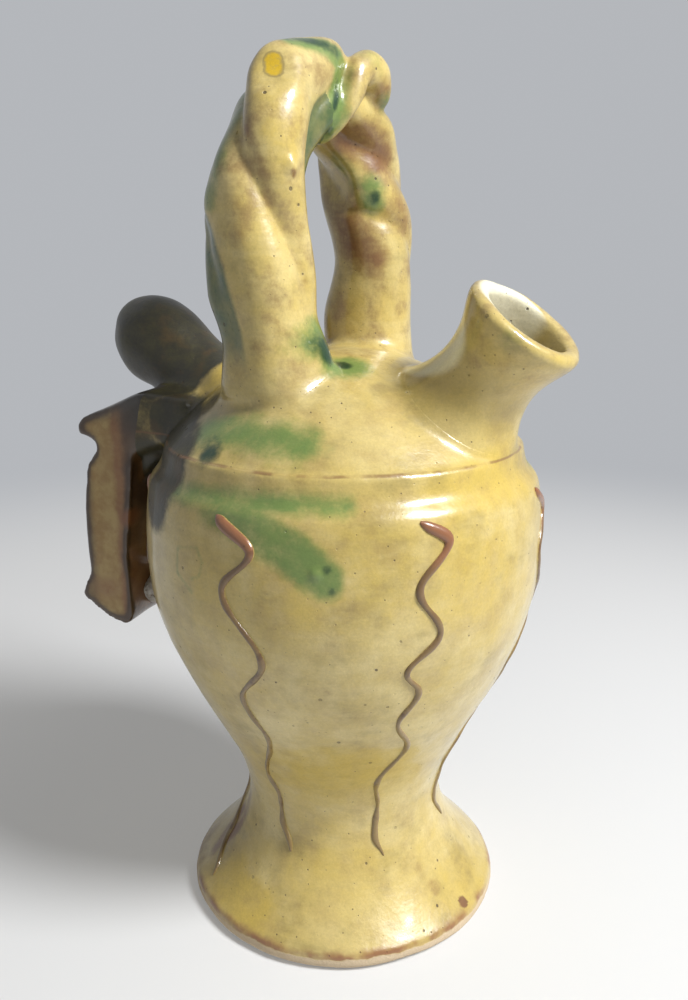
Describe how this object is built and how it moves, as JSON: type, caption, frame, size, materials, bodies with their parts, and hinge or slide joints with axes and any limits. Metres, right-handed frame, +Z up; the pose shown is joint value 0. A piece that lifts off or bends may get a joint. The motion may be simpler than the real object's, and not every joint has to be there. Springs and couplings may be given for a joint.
{
  "type": "clay water jug",
  "caption": "Glazed earthenware water jug with a hollow foot, wavy ribs, wide filling mouth, drinking spout, hanging plaque and twisted arch handle.",
  "frame": {"origin": "centre of the flat base, on the surface that the jug stands on", "axes": "+Z up along the axis of the thrown body, +X towards the filling mouth, -X towards the drinking spout, the handle arches over the Y direction"},
  "size_m": [0.176, 0.1339, 0.283],
  "materials": {
    "cream_glaze": "glossy pale yellow lead glaze with copper-green splashes and fine specks",
    "green_glaze": "glossy dark copper-green glaze, thinner and browner over edges",
    "honey_glaze": "glossy honey glaze, pale in the middle and brown along the edges",
    "red_slip": "glossy red-brown trailed slip under thin glaze",
    "bare_clay": "rough half-glazed grey-white clay"
  },
  "bodies": {
    "root": {"foot": "cream_glaze", "belly": "cream_glaze", "dome": "cream_glaze", "filling_mouth": "cream_glaze", "drinking_spout": "green_glaze", "handle_roll_front": "cream_glaze", "handle_roll_middle": "cream_glaze", "handle_roll_back": "green_glaze", "handle_loop": "green_glaze", "plaque": "honey_glaze", "plaque_web": "green_glaze", "plaque_prop": "bare_clay", "wavy_rib_1": "red_slip", "wavy_rib_2": "red_slip", "wavy_rib_3": "red_slip", "wavy_rib_4": "red_slip", "wavy_rib_5": "red_slip", "wavy_rib_6": "red_slip"}
  },
  "joints": []
}
